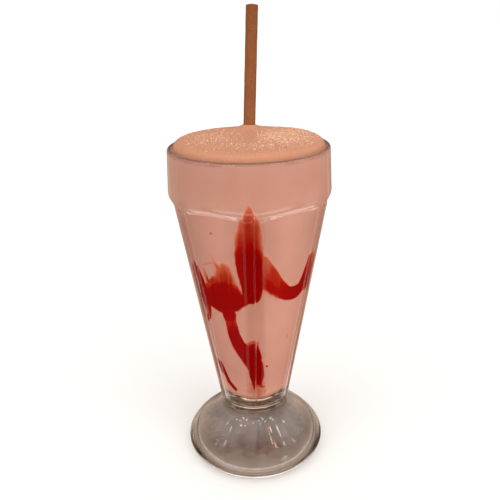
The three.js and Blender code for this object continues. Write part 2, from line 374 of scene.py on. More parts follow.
def panel_radius(height, from_middle):
    """Radius of a panel and of the ledge above it at an angle from the panel's middle: the plane's reach
    over the cosine of the angle, then a straight run out to the foot of the collar's chamfer, then the
    chamfer, which goes on outwards past the collar. The ledge arches up towards the panel's middle."""
    height = height - PANEL_LEDGE_ARCH * (1 - (from_middle * PANEL_COUNT / math.pi) ** 2)
    plane = panel_reach(np.minimum(height, PANEL_LEDGE_BASE)) / np.cos(from_middle)
    chamfer_radius, chamfer_base = COLLAR_CHAMFER
    out = np.clip((height - PANEL_LEDGE_BASE) / (chamfer_base - PANEL_LEDGE_BASE), 0, 1)
    chamfer_slope = (COLLAR_RADIUS - chamfer_radius) / (COLLAR_BASE - chamfer_base)
    return mix(plane, chamfer_radius, out) + chamfer_slope * np.maximum(height - chamfer_base, 0)


def bowl_radius(height):
    """Radius of the outside of the bowl before its panels are cut: ribs that flare into the collar."""
    ribs = np.interp(height, [PANEL_BASE, PANEL_TOP], [RIB_RADIUS_BASE, RIB_RADIUS_TOP])
    collar = np.interp(height, [COLLAR_BASE, MOUTH_HEIGHT], [COLLAR_RADIUS, RIM_RADIUS])
    return mix(ribs, collar, smoothstep(*RIB_FLARE, height))


# Stretches of the glass's outline, in order
RECESS, EDGE, FOOT, COVE, BOWL, LIP, INSIDE, WELL = range(8)


def glass_profile():
    """Outline from the middle of the base recess, over the foot and the bowl, round the lip and down
    the inside to the middle of the well: radius, height and the number of the stretch it is in. The
    recess, edge, cove and well are quarter ovals and the lip is half of one. The foot's radius and
    height follow powers of the cosine and sine over a quarter turn."""
    def quarter(count):
        return np.linspace(0, math.pi / 2, count)

    turn = quarter(RECESS_ROWS)
    recess = BASE_RING_INNER * np.sin(turn), BASE_RECESS * np.cos(turn)
    turn = quarter(EDGE_ROWS)
    edge = mix(BASE_RING_OUTER, FOOT_RADIUS, np.sin(turn)), FOOT_EDGE_HEIGHT * (1 - np.cos(turn))
    turn = quarter(FOOT_ROWS)[1:]
    foot = (mix(NECK_RADIUS, FOOT_RADIUS, np.cos(turn) ** FOOT_FLARE),
            mix(FOOT_EDGE_HEIGHT, FOOT_SHOULDER, np.sin(turn) ** FOOT_FULLNESS))
    turn = quarter(COVE_ROWS)
    cove = (mix(RIB_RADIUS_BASE, NECK_RADIUS, np.cos(turn)), mix(NECK_HEIGHT, PANEL_BASE, np.sin(turn)))
    height = np.concatenate([np.linspace(*run) for run in BOWL_ROWS])
    bowl = bowl_radius(height), height
    turn = np.linspace(0, math.pi, LIP_ROWS)
    middle, half = (RIM_RADIUS + MOUTH_RADIUS) / 2, (RIM_RADIUS - MOUTH_RADIUS) / 2
    lip = middle + half * np.cos(turn), MOUTH_HEIGHT + LIP_ROUND * np.sin(turn)
    height = np.linspace(MOUTH_HEIGHT - 1, WELL_SHOULDER, INSIDE_ROWS)
    inside = wall_radius(height), height
    turn = quarter(WELL_ROWS)[1:]
    well = WELL_RADIUS * np.cos(turn), mix(WELL_SHOULDER, WELL_BOTTOM, np.sin(turn))
    parts = [recess, edge, foot, cove, bowl, lip, inside, well]
    radius, height = (np.concatenate([part[i] for part in parts]) for i in range(2))
    stretch = np.repeat(np.arange(len(parts)), [len(part[0]) for part in parts])
    return radius, height, stretch


def rib_edge(height):
    """Angle from the middle of a rib to its edge, where the panel's plane meets the round bowl."""
    level = np.clip(height, PANEL_BASE, PANEL_TOP)
    return SECTOR / 2 - np.arccos(panel_reach(level) / bowl_radius(level))


def sector_columns(edge):
    """Angles from the middle of a rib, across the rib and then across the panel after it, spaced so that
    the rib's edges fall on columns at every height."""
    across_rib = np.linspace(-1, 1, RIB_COLUMNS + 1)[:-1]
    across_rib = np.sign(across_rib) * np.abs(across_rib) ** RIB_CROWDING
    across_panel = 0.5 - 0.5 * np.cos(np.linspace(0, math.pi, PANEL_COLUMNS + 1)[:-1])
    return np.concatenate([across_rib * edge, edge + across_panel * (SECTOR - 2 * edge)], axis=1)


def cut_radius(radius, height, panelled, from_rib):
    """Radius of the outside once the panels are cut: the lesser of the round bowl's and the panel's, with
    a rounded edge where they meet."""
    reach = panel_radius(height, from_rib - SECTOR / 2 * np.sign(from_rib))
    softness = mix(EDGE_SOFTNESS, LEDGE_SOFTNESS, smoothstep(*LEDGE_SOFTENING, height))
    cut = soft_min(radius, reach, softness)
    return np.where(panelled & (height > PANEL_CUT_BASE), cut, radius)


def glass_waves(points, radius, height, stretch):
    """How far the recess under the foot, and the top of the foot, wave up and down."""
    x, y = points[..., 0] + GLASS_WAVE_SHIFT, points[..., 1] + GLASS_WAVE_SHIFT
    on_recess = (stretch == RECESS) * (1 - (radius / BASE_RING_INNER) ** 4)
    on_foot = smoothstep(*FOOT_WAVE_RISE, height) * ((stretch == FOOT) & (radius > FOOT_WAVE_END))
    return ripples(x, y, RECESS_WAVES) * on_recess + ripples(x, y, FOOT_WAVES) * on_foot


def glass_marks(radius, height, stretch, panelled, edge, from_rib):
    """Wear and painted shade of each point: the recess, the neck and the lower foot are worn, and the ribs,
    within their edges, and the top of the lip carry painted shade."""
    worn = (stretch == RECESS) + NECK_WEAR * (stretch == COVE)
    worn = worn + FOOT_WEAR * smoothstep(*FOOT_WEAR_FADE, height) * (stretch == FOOT)
    from_middle = np.abs(np.where(from_rib > SECTOR / 2, from_rib - SECTOR, from_rib))
    inside_edge = smoothstep(-RIB_PAINTED_SHADE_EDGE, RIB_PAINTED_SHADE_EDGE, (edge - from_middle) * radius)
    up_rib = smoothstep(*SEAM_RISE, height) * panelled * smoothstep(*RIB_PAINTED_SHADE_END, height)
    on_lip = (stretch == LIP) * smoothstep(*LIP_PAINTED_SHADE_RISE, height)
    # Painted shade on the ribs, within their edges, and on the top of the lip
    painted_shade = np.maximum(RIB_PAINTED_SHADE * inside_edge * up_rib, on_lip)
    return [np.tile(np.broadcast_to(rows, from_rib.shape), (1, PANEL_COUNT)) for rows in (worn, painted_shade)]


def make_glass(material):
    """The profile is carried round the axis, one sector of a rib and a panel after another. Where panels
    are cut, the radius is the lesser of the round bowl's and the panel's. A fine seam of the mould runs
    up the middle of every other rib, and the recess and the foot are a little wavy."""
    radius, height, stretch = (values[:, None] for values in glass_profile())
    panelled = (stretch == COVE) | (stretch == BOWL)
    edge = rib_edge(height)
    from_rib = sector_columns(edge)
    cut = cut_radius(radius, height, panelled, from_rib)
    seam = SEAM_HEIGHT * np.exp(-(from_rib * radius / SEAM_WIDTH) ** 2)
    seam = seam * smoothstep(*SEAM_RISE, height) * panelled
    points = np.concatenate([
        round_points(cut + seam * (number % 2 == 0), from_rib + PANEL_TURN + SECTOR * number, height)
        for number in range(PANEL_COUNT)], axis=1)
    points[..., 2] += glass_waves(points, radius, height, stretch)
    worn, painted_shade = glass_marks(radius, height, stretch, panelled, edge, from_rib)
    points, faces = capped_rings(points)
    return put_mesh("glass_body", points, faces, material, worn=capped_values(worn), rib=capped_values(painted_shade))


def make_pale_band(material):
    """A pale band inside the foot: an oval section carried round the axis, just above the inner edge of the
    ring that touches the table."""
    around = full_turn(PALE_BAND_COLUMNS)
    turn = full_turn(PALE_BAND_SIDES)
    radius = PALE_BAND_RADIUS + PALE_BAND_WIDTH / 2 * np.cos(turn)
    height = PALE_BAND_HEIGHT + PALE_BAND_WIDTH / 3 * np.sin(turn)
    points = round_points(radius[:, None], around, height[:, None])
    faces = ring_quads(PALE_BAND_SIDES + 1, PALE_BAND_COLUMNS, 0) % (PALE_BAND_SIDES * PALE_BAND_COLUMNS)
    return put_mesh("pale_band", points.reshape(-1, 3), [faces], material)


# The shake

FROTH_RADIUS = wall_radius(FROTH_EDGE) + SHAKE_BITE


def froth_height(radius):
    """Height of the froth: nearly flat, rounding down steeply close to the wall."""
    share = np.clip(radius / FROTH_RADIUS, 0, 1)
    return mix(FROTH_EDGE, FROTH_TOP, np.cbrt(1 - share ** FROTH_FLATNESS))


def froth_patch(x, y, share, middle_x, middle_y, reach_x, reach_y):
    """A share that falls off in a bell shape from the middle of a patch."""
    return share * np.exp(-(((x - middle_x) / reach_x) ** 2 + ((y - middle_y) / reach_y) ** 2))


def froth_bubbliness(x, y):
    """Share of the froth that is bubbly at a place: most on the right, less on the left and in front,
    and hardly any in a smooth strip in front of the straw and close to the front of the rim."""
    bubbly = sum((froth_patch(x, y, *patch) for patch in BUBBLY_PATCHES), BUBBLY_LEAST)
    return np.clip(bubbly, 0, 1) * (1 - froth_patch(x, y, *SMOOTH_STRIP))


def froth_relief(x, y):
    """Unevenness of the froth: broad swells, fine bubbly grain that leaves a smooth patch in front of
    the straw, and a mound that clings round the straw."""
    from_straw = np.hypot(x - STRAW_FROTH_POINT[0], y - STRAW_FROTH_POINT[1])
    across, along = x + FROTH_WAVE_SHIFT, y + FROTH_WAVE_SHIFT
    swell = ripples(across, along, FROTH_SWELLS)
    grain = ripples(across, along, FROTH_GRAIN)
    outwards = np.maximum(from_straw - STRAW_RADIUS, 0) / MOUND_REACH
    mound = MOUND_HEIGHT * np.exp(-outwards ** MOUND_FALL)
    return swell + grain * froth_bubbliness(x, y) + mound


def make_shake(material):
    """The shake fills the inside of the glass, a little into its wall, from the well up to the mouth,
    and ends in the froth, whose height follows the radius with relief added."""
    turn = np.linspace(0, math.pi / 2, SHAKE_WELL_ROWS)
    well_depth = WELL_SHOULDER - WELL_BOTTOM + SHAKE_BITE
    well = (WELL_RADIUS + SHAKE_BITE) * np.sin(turn), WELL_SHOULDER - well_depth * np.cos(turn)
    height = np.linspace(WELL_SHOULDER + 2, FROTH_EDGE, SHAKE_SIDE_ROWS)
    side = wall_radius(height) + SHAKE_BITE, height
    inwards = np.linspace(0, 1, FROTH_ROWS)[1:]
    radius = FROTH_RADIUS * (1 - inwards ** FROTH_CROWDING)
    top = radius, froth_height(radius)
    radius, height = (np.concatenate([part[i] for part in (well, side, top)]) for i in range(2))
    on_top = np.arange(len(radius)) >= len(well[0]) + len(side[0])
    points = round_points(radius[:, None], full_turn(SHAKE_COLUMNS), height[:, None])
    calm_edge = smoothstep(FROTH_RADIUS, FROTH_RADIUS - FROTH_CALM_EDGE, radius)
    relief = froth_relief(points[..., 0], points[..., 1])
    points[..., 2] += relief * (on_top * calm_edge)[:, None]
    froth = capped_values(np.broadcast_to(on_top[:, None] * 1.0, points.shape[:2]))
    points, faces = capped_rings(points)
    return put_mesh("shake_body", points, faces, material, froth=froth)


def make_bubbles(material):
    """Small domes on the froth, each a low ring-and-cap shape scaled by its own size, placed at random
    with more of them where the froth is bubblier."""
    draw = np.random.default_rng(BUBBLE_SEED)
    spread = draw.random((BUBBLE_PLACES, 2))
    radius, angle = BUBBLE_REACH * np.sqrt(spread[:, 0]), 2 * math.pi * spread[:, 1]
    x, y = radius * np.sin(angle), -radius * np.cos(angle)
    from_straw = np.hypot(x - STRAW_FROTH_POINT[0], y - STRAW_FROTH_POINT[1])
    likely = BUBBLE_SHARE * froth_bubbliness(x, y) ** BUBBLE_GATHERING
    kept = (draw.random(len(x)) < likely) & (from_straw > STRAW_RADIUS + BUBBLE_STRAW_GAP)
    x, y, radius = x[kept], y[kept], radius[kept]
    size = draw.lognormal(math.log(BUBBLE_RADIUS), BUBBLE_RADIUS_SPREAD, len(x))
    size = np.clip(size, *BUBBLE_RADIUS_LIMITS)
    z = froth_height(radius) + froth_relief(x, y)
    turn = np.linspace(BUBBLE_SKIRT, 1, BUBBLE_ROWS + 1)[:-1, None] * math.pi / 2
    rings = round_points(np.cos(turn), full_turn(BUBBLE_SIDES), np.sin(turn))
    dome = np.concatenate([rings.reshape(-1, 3), [[0, 0, 1]]])
    ring = np.arange(BUBBLE_SIDES)
    upper = (BUBBLE_ROWS - 1) * BUBBLE_SIDES
    top = np.full(BUBBLE_SIDES, BUBBLE_ROWS * BUBBLE_SIDES)
    cap = np.stack([upper + ring, upper + (ring + 1) % BUBBLE_SIDES, top], -1)
    underside = ring[::-1][None, :]
    place = np.stack([x, y, z], -1)
    points = (place[:, None, :] + size[:, None, None] * dome).reshape(-1, 3)
    shift = (np.arange(len(x)) * len(dome))[:, None, None]
    faces = [(part[None] + shift).reshape(-1, part.shape[1])
             for part in (ring_quads(BUBBLE_ROWS, BUBBLE_SIDES, 0), cap, underside)]
    return put_mesh("froth_bubbles", points, faces, material)


# The syrup

# Each stroke is the softness of its edge and a run of [angle in degrees, height, half width, thickness].
CRISP = 0.2
FEATHERY = 0.9
STROKE_STEPS = 90

# Unevenness of the syrup's edges across and up the wall, as layers of [size, grain, how far drawn out
# upwards, seed]. Wisps come in where an edge is softer than the first share and are full at the second.
SWAY_ACROSS = [(0.7, 7, 1, 21), (0.3, 2, 1, 22)]
SWAY_UP = [(0.8, 5, 1, 23)]
WISPS_ACROSS = [(1.6, 5, 1, 25)]
WISPS_UP = [(2.4, 3.2, 3, 26), (1.4, 1.1, 5, 27)]
WISPS_BY_SOFTNESS = (0.3, 0.9)
STRANDS = [(0.56, 1.4, 9, 24)]
SYRUP_WAVE_SHIFT = 400

# The film's grid: steps in degrees and in height, and how far it reaches past the strokes
SYRUP_ANGLE_STEP = 0.6
SYRUP_HEIGHT_STEP = 0.4
SYRUP_MARGIN = 6
SYRUP_TOP_MARGIN = 4
SYRUP_LOWEST = WELL_BOTTOM + 1.2
NARROW_WALL = 20
SYRUP_SKIN = 0.3
SYRUP_LEAST = 0.02
FRONT_STROKES = [
    # The petal's soft upper part, and the petal
    (0.45, [[-1, 173.4, 0.5, 0.07], [-0.6, 169.2, 2.5, 0.19], [-0.9, 164, 5.6, 0.3], [-1.7, 155, 7.4, 0.37],
            [-2.4, 147, 7.5, 0.6]]),
    (CRISP, [[-2, 152, 4.5, 0.3], [-2.4, 147, 7.1, 0.5], [-2.2, 141, 7, 1.0], [-1.4, 135, 6.3, 1.15],
             [-0.2, 128, 5.6, 1.15], [0.6, 123, 5, 1.1], [0.4, 119.2, 4.6, 1.0]]),
    # The wave to the right, and the thicker run along its start
    (CRISP, [[4, 139, 7.5, 0.2], [9.5, 135, 6.6, 0.27], [16, 130, 5.8, 0.36], [23, 124.5, 5.2, 0.5],
             [33, 119, 5, 0.75], [43, 116.5, 4.6, 1.0], [52, 116.2, 4.7, 1.1], [58.5, 118.5, 3.9, 1.0],
             [61.5, 124.5, 2.7, 0.8], [62.6, 130, 2.1, 0.6], [63.3, 136.5, 1.1, 0.4], [65, 139.5, 0.4, 0.3]]),
    (0.6, [[6, 131.5, 4, 0.4], [13, 127, 4, 0.6], [21, 122.3, 4, 0.75], [30, 118.5, 4.4, 0.85]]),
    # The blob to the left, and its soft upper side
    (0.3, [[-56, 114, 3.5, 1.0], [-50, 113.6, 5.2, 1.1], [-42, 112.6, 6, 1.2], [-34, 113.4, 8, 1.25],
           [-25, 115, 8.4, 1.2], [-17, 116, 6.4, 1.2], [-9, 117, 3.8, 1.1]]),
    (0.8, [[-51, 117, 5, 0.9], [-41, 119.5, 6.5, 0.95], [-31, 122.5, 7.5, 0.95], [-22, 122.5, 6.5, 0.9],
           [-15, 120, 4.5, 0.9]]),
    # The sweep down to the bottom, and the bar at its end
    (CRISP, [[-27, 106, 4.4, 0.9], [-26.6, 101.5, 3.8, 0.5], [-25.4, 97, 4, 0.65], [-23.3, 91, 4.2, 0.95],
             [-19.5, 86, 4.6, 1.0], [-13, 80.5, 4.9, 1.05], [-5, 75.5, 4.5, 1.1], [1.5, 70.5, 3.9, 1.1],
             [3.4, 65, 3.6, 1.1], [4, 60, 3.4, 0.9], [4.2, 57.5, 3, 0.6]]),
    (0.4, [[-1.2, 84.3, 3.4, 0.5], [0.6, 83.5, 3.1, 0.75], [2, 79, 3, 1.05], [2.6, 72, 3.1, 1.1]]),
    # The strip along the left rib
    (0.3, [[-59.6, 136, 0.5, 0.4], [-58.8, 130, 1.1, 0.8], [-57.6, 124, 1.8, 0.95], [-56.3, 118.5, 2.6, 1.0],
           [-56, 113, 2.8, 1.0], [-56.8, 108, 2, 1.0], [-58, 102.5, 1.1, 0.95], [-61.5, 97, 0.5, 0.6]]),
    # The blob's feathery upper fringe and the wisps that rise from it
    (0.8, [[-26.5, 126, 8.5, 0.5], [-26.5, 131, 7.4, 0.34], [-26.5, 134.5, 6, 0.24], [-26, 137.5, 3, 0.15]]),
    (FEATHERY, [[-50, 132, 1.2, 0.12], [-48.8, 129, 1.8, 0.22], [-47.2, 126, 2.4, 0.38],
                [-43.3, 125.6, 2.6, 0.42], [-39, 126.6, 3, 0.35], [-35, 128, 3.5, 0.3]]),
    (0.8, [[-49, 121.5, 3.5, 0.45], [-42, 123, 5, 0.42], [-36, 125.5, 5.5, 0.42]]),
    (FEATHERY, [[-29, 133.5, 4.5, 0.24], [-33.5, 136.2, 2.6, 0.15], [-35.6, 138.6, 1.5, 0.1],
                [-36.5, 141.4, 1, 0.07], [-36.7, 144.5, 0.6, 0.05]]),
    (FEATHERY, [[-34, 136.8, 1.8, 0.13], [-38, 137.5, 1.5, 0.1], [-43, 136.8, 1.3, 0.08],
                [-48, 135.8, 1, 0.06], [-51.5, 135.2, 0.6, 0.04]]),
    # The bar's thin cap, its two prongs and the thin pool under them
    (0.6, [[-5, 86.3, 2.2, 0.18], [-0.5, 87, 2.4, 0.2], [4, 86.6, 2.2, 0.18]]),
    (0.6, [[1, 56, 1.8, 0.8], [0.8, 52.6, 1.2, 0.6], [0.5, 51, 0.7, 0.4]]),
    (0.6, [[8, 57, 1.5, 0.8], [9.5, 54, 1.1, 0.5], [13, 52.6, 0.8, 0.35]]),
    (FEATHERY, [[-4, 50.5, 2.8, 0.08], [1, 49.5, 3.6, 0.11], [6, 49, 3.8, 0.11], [11, 49.6, 2.8, 0.08]]),
    (FEATHERY, [[2, 55, 4.6, 0.15], [4, 50.5, 4.2, 0.11], [5, 46.5, 3.2, 0.08]]),
    # Specks apart from the rest
    (CRISP, [[16.5, 68.6, 0.5, 0.9], [17.3, 68.2, 0.5, 0.9]]),
    (FEATHERY, [[49.5, 88.5, 0.9, 0.09], [50, 86, 0.9, 0.09]]),
    (CRISP, [[-33, 156.3, 0.35, 0.5], [-32.6, 155.9, 0.35, 0.5]]),
]
STREAK_STROKES = [
    (CRISP, [[-66, 69.5, 0.4, 0.6], [-63.5, 64.5, 1.1, 1.0], [-60, 58.5, 1.6, 1.1], [-51.5, 52.5, 1.7, 1.1],
             [-39, 48.4, 1.3, 0.9]]),
]
BACK_STROKES = [
    (CRISP, [[168, 170, 0.6, 0.2], [168, 161, 3.6, 0.35], [169, 149, 6.6, 0.8], [171, 138, 6.4, 1.15],
             [174, 127, 5, 1.15], [178, 117, 3.8, 1.1]]),
    (CRISP, [[160, 132, 5, 0.35], [149, 123, 4.6, 0.6], [136, 117, 4, 1.0], [123, 118, 3.6, 1.0],
             [114, 126, 2.4, 0.7], [110, 135, 0.6, 0.4]]),
    (CRISP, [[178, 121, 4.4, 1.1], [186, 110, 5.6, 1.2], [199, 101, 5, 1.1], [206, 91, 4.2, 1.0],
             [203, 80, 4.4, 1.1], [193, 71, 4, 1.1], [188, 61, 3.4, 0.85], [186, 51, 2.4, 0.4]]),
    (0.5, [[188, 109, 3.6, 1.0], [205, 114, 3.2, 0.7], [222, 124, 2.2, 0.45], [232, 136, 0.6, 0.3]]),
    (FEATHERY, [[190, 112, 6, 0.8], [194, 121, 4.5, 0.35], [197, 130, 1.5, 0.15]]),
]


def through_stations(stations, count):
    """A smooth run through the stations, each span a cubic that takes its slopes from the neighbours."""
    knots = np.array(stations, float)
    ahead = np.concatenate([[2 * knots[0] - knots[1]], knots, [2 * knots[-1] - knots[-2]]])
    place = np.linspace(0, len(knots) - 1, count)
    span = np.minimum(place.astype(int), len(knots) - 2)
    t = (place - span)[:, None]
    before, start, end, after = (ahead[span + i] for i in range(4))
    return 0.5 * (2 * start + (end - before) * t + (2 * before - 5 * start + 4 * end - after) * t ** 2
                  + (3 * start - before - 3 * end + after) * t ** 3)


def syrup_depth(angle, height, strokes):
    """Thickness of syrup at places on the wall: the thickest of the strokes there, each fading from its
    own thickness along its middle to nothing at its half width, the softer the further in, and with
    soft edges drawn out into uneven wisps."""
    arc = angle * wall_radius(height)
    along = arc + SYRUP_WAVE_SHIFT
    sway = np.stack([ripples(along, height, SWAY_ACROSS), ripples(along, height, SWAY_UP)])
    wisp = np.stack([ripples(along, height, WISPS_ACROSS), ripples(along, height, WISPS_UP)])
    depth = np.zeros(angle.shape)
    for softness, stations in strokes:
        shift = sway + wisp * smoothstep(*WISPS_BY_SOFTNESS, softness)
        run = through_stations(stations, STROKE_STEPS)
        run_height = run[:, 1]
        run_arc = np.radians(run[:, 0]) * wall_radius(run_height)
        for arc_here, height_here, half_width, thickness in zip(run_arc, run_height, run[:, 2], run[:, 3]):
            squared = (arc + shift[0] - arc_here) ** 2 + (height + shift[1] - height_here) ** 2
            inside = smoothstep(1, 1 - softness, np.sqrt(squared) / half_width)
            depth = np.maximum(depth, thickness * inside)
    return depth * (1 + ripples(along, height, STRANDS))


def make_syrup(name, strokes, material):
    """A film on the inside of the wall. Its outer face lies a little inside the glass and its inner
    face as deep in the shake as the syrup is thick; cells with no syrup are left out, and the rim of
    what is left is closed by a strip between the two faces."""
    stations = np.concatenate([np.array(stroke[1], float) for stroke in strokes])
    reach = np.degrees(stations[:, 2].max() / NARROW_WALL) + SYRUP_MARGIN
    angle = np.arange(stations[:, 0].min() - reach, stations[:, 0].max() + reach, SYRUP_ANGLE_STEP)
    lowest = max(stations[:, 1].min() - SYRUP_MARGIN, SYRUP_LOWEST)
    height = np.arange(lowest, stations[:, 1].max() + SYRUP_TOP_MARGIN, SYRUP_HEIGHT_STEP)
    angle, height = np.meshgrid(np.radians(angle), height)
    depth = syrup_depth(angle, height, strokes)
    wall = wall_radius(height) + SYRUP_BITE
    outer = round_points(wall, angle, height)
    inner = round_points(wall - SYRUP_SKIN - depth, angle, height)
    rows, columns = depth.shape
    index = np.arange(rows * columns).reshape(rows, columns)
    quads = np.stack([index[:-1, :-1], index[:-1, 1:], index[1:, 1:], index[1:, :-1]], -1).reshape(-1, 4)
    wet = quads[(depth.ravel()[quads] > SYRUP_LEAST).any(axis=1)]
    edges = np.stack([wet, np.roll(wet, -1, axis=1)], -1).reshape(-1, 2)
    total = rows * columns
    code = edges[:, 0] * total + edges[:, 1]
    reverse = edges[:, 1] * total + edges[:, 0]
    rim = edges[~np.isin(code, reverse)]
    strip = np.stack([rim[:, 1], rim[:, 0], rim[:, 0] + total, rim[:, 1] + total], -1)
    faces = np.concatenate([wet, wet[:, ::-1] + total, strip])
    used, faces = np.unique(faces, return_inverse=True)
    points = np.concatenate([outer.reshape(-1, 3), inner.reshape(-1, 3)])[used]
    values = np.concatenate([depth.ravel(), depth.ravel()])[used]
    return put_mesh(name, points, [faces.reshape(-1, 4)], material, syrup=values)


# The straw

def make_straw(material):
    """A tube of wound paper along the straw's axis: round the outside, over a rounded end, down the
    inside and back, with a shallow helical step where each turn of the strip overlaps the last."""
    axis = STRAW_TOP - STRAW_FROTH_POINT
    axis /= np.linalg.norm(axis)
    lower = STRAW_FROTH_POINT - axis * (STRAW_FROTH_POINT[2] - STRAW_LOWER_END_HEIGHT) / axis[2]
    length = np.linalg.norm(STRAW_TOP - lower)
    side = np.cross(axis, [0, 1, 0])
    side /= np.linalg.norm(side)
    other = np.cross(axis, side)
    ends = STRAW_END_LENGTH, length - STRAW_END_LENGTH
    along = np.concatenate([[0], np.linspace(*ends, STRAW_OUTER_ROWS), [length, length],
                            np.linspace(*ends[::-1], STRAW_INNER_ROWS), [0]])
    last_outer = STRAW_OUTER_ROWS + 1
    outside = np.arange(len(along)) <= last_outer
    inset = np.where(outside, 0, STRAW_WALL)
    inset[[0, last_outer]] += STRAW_END_INSET
    inset[[last_outer + 1, -1]] -= STRAW_END_INSET
    around = full_turn(STRAW_SIDES)
    winding = (along[:, None] / STRAW_WINDING + around / (2 * math.pi)) % 1
    step = STRAW_LAP * (smoothstep(0, STRAW_LAP_SHARE, winding) - winding) - STRAW_LAP_INSET
    radius = STRAW_RADIUS - inset[:, None] + step * outside[:, None]
    ring = radius[..., None] * (np.cos(around)[:, None] * side + np.sin(around)[:, None] * other)
    points = lower + along[:, None, None] * axis + ring
    rows, columns = points.shape[:2]
    faces = ring_quads(rows + 1, columns, 0) % (rows * columns)
    height = np.clip((points[..., 2] - FROTH_TOP) / (STRAW_TOP[2] - FROTH_TOP), 0, 1)
    return put_mesh("paper_straw", points.reshape(-1, 3), [faces], material, winding=winding, height=height)


# Materials

def new_material(name):
    """A material with an empty node tree but for its output and a Principled shader."""
    material = bpy.data.materials.new(name)
    material.use_nodes = True
    tree = material.node_tree
    tree.nodes.clear()
    output = tree.nodes.new("ShaderNodeOutputMaterial")
    shader = tree.nodes.new("ShaderNodeBsdfPrincipled")
    tree.links.new(shader.outputs["BSDF"], output.inputs["Surface"])
    return material, tree, shader, output


def fill(tree, node, sockets):
    """Gives the sockets of a node, by name or number, a link or a plain value each."""
    for key, value in sockets.items():
        if isinstance(value, bpy.types.NodeSocket):
            tree.links.new(value, node.inputs[key])
        else:
            node.inputs[key].default_value = value


def add_node(tree, kind, output, sockets, **settings):
    """The named output of a new node with these settings and filled sockets."""
    node = tree.nodes.new("ShaderNode" + kind)
    for name, value in settings.items():
        setattr(node, name, value)
    fill(tree, node, sockets)
    return node.outputs[output]


def noise_node(tree, place, scale, detail, roughness=0.5):
    """Noise over linked coordinates."""
    sockets = {"Vector": place, "Scale": scale, "Detail": detail, "Roughness": roughness}
    return add_node(tree, "TexNoise", "Fac", sockets)


def grain_node(tree, scale, detail, roughness=0.5):
    """Noise on the piece's own object coordinates, with the scale in turns for each metre."""
    return noise_node(tree, add_node(tree, "TexCoord", "Object", {}), scale, detail, roughness)


def attribute_node(tree, name):
    """The value that each point of the piece carries under a name."""
    return add_node(tree, "Attribute", "Fac", {}, attribute_name=name)


def ramp_node(tree, value, stops):
    """A colour ramp over a value, from stops of position and colour."""
    ramp = tree.nodes.new("ShaderNodeValToRGB")
    while len(ramp.color_ramp.elements) < len(stops):
        ramp.color_ramp.elements.new(1)
    for element, (position, colour) in zip(ramp.color_ramp.elements, stops):
        element.position = position
        element.color = (*colour, 1)
    tree.links.new(value, ramp.inputs["Fac"])
    return ramp.outputs["Color"]


def range_node(tree, value, low, high):
    """A value from 0 to 1 made to run from low to high."""
    return add_node(tree, "MapRange", "Result", {"Value": value, "To Min": low, "To Max": high})


def smooth_node(tree, value, start, end):
    """A smooth rise from 0 to 1 as a value goes from start to end."""
    sockets = {"Value": value, "From Min": start, "From Max": end}
    return add_node(tree, "MapRange", "Result", sockets, interpolation_type="SMOOTHSTEP")


def math_node(tree, operation, *values):
    """A sum on linked values or plain numbers."""
    return add_node(tree, "Math", "Value", dict(enumerate(values)), operation=operation)


def mix_node(tree, share, first, second, blend_type="MIX"):
    """A blend of two colours."""
    sockets = {"Factor": share, "A": first, "B": second}
    return add_node(tree, "Mix", "Result", sockets, data_type="RGBA", blend_type=blend_type)


def multiply_node(tree, first, second):
    """The product of two colours."""
    return mix_node(tree, 1, first, second, "MULTIPLY")


def bump_node(tree, height, distance, strength):
    """Fine relief for a shader, from a linked height that spans a distance in metres."""
    return add_node(tree, "Bump", "Normal", {"Height": height, "Distance": distance, "Strength": strength})


# Colours over a share: painted shade of the glass, depth of the syrup, height up the glass or up the straw,
# which sets painted light on the shake and the straw, and place across the strip of paper
# Painted shade of the glass: clear, darker on the ribs and darkest on the lip
PAINTED_SHADE_COLOURS = [(0.0, (1, 1, 1)), (RIB_PAINTED_SHADE, (0.74, 0.66, 0.64)), (1.0, (0.28, 0.24, 0.24))]
SHAKE_COLOURS = [(0.3, (0.80, 0.43, 0.335)), (0.7, (0.84, 0.47, 0.37))]
FROTH_COLOURS = [(0.35, (0.465, 0.208, 0.125)), (0.75, (0.545, 0.265, 0.17))]
# Painted light on the shake: brighter low down and a little darker near the top
SHAKE_PAINTED_LIGHT = [
    (0.24, (1.2, 1.12, 1.09)),
    (0.32, (1.1, 1.03, 1.02)),
    (0.5, (1.14, 1.1, 1.1)),
    (0.75, (0.99, 0.98, 0.98)),
    (0.95, (0.95, 0.93, 0.92)),
]
SYRUP_COLOURS = [
    (0.0, (0.87, 0.465, 0.36)),
    (0.07, (0.91, 0.33, 0.205)),
    (0.16, (0.75, 0.18, 0.09)),
    (0.35, (0.60, 0.045, 0.015)),
    (0.65, (0.53, 0.003, 0.002)),
    (1.0, (0.43, 0.001, 0.001)),
]
LAP_COLOURS = [(0.0, (0.7, 0.7, 0.7)), (0.04, (1, 1, 1)), (1.0, (0.93, 0.93, 0.93))]
# Painted light on the straw: paler near the froth, which throws light on it, and darker towards the top
STRAW_PAINTED_LIGHT = [(0.0, (1.2, 1.25, 1.35)), (0.25, (1.02, 1.02, 1.02)), (1.0, (0.85, 0.8, 0.72))]
GLASS_IOR = 1.5
GLASS_POLISH = 0.03
GLASS_TINT = (0.40, 0.22, 0.10, 1)
GLASS_TINT_DENSITY = 18


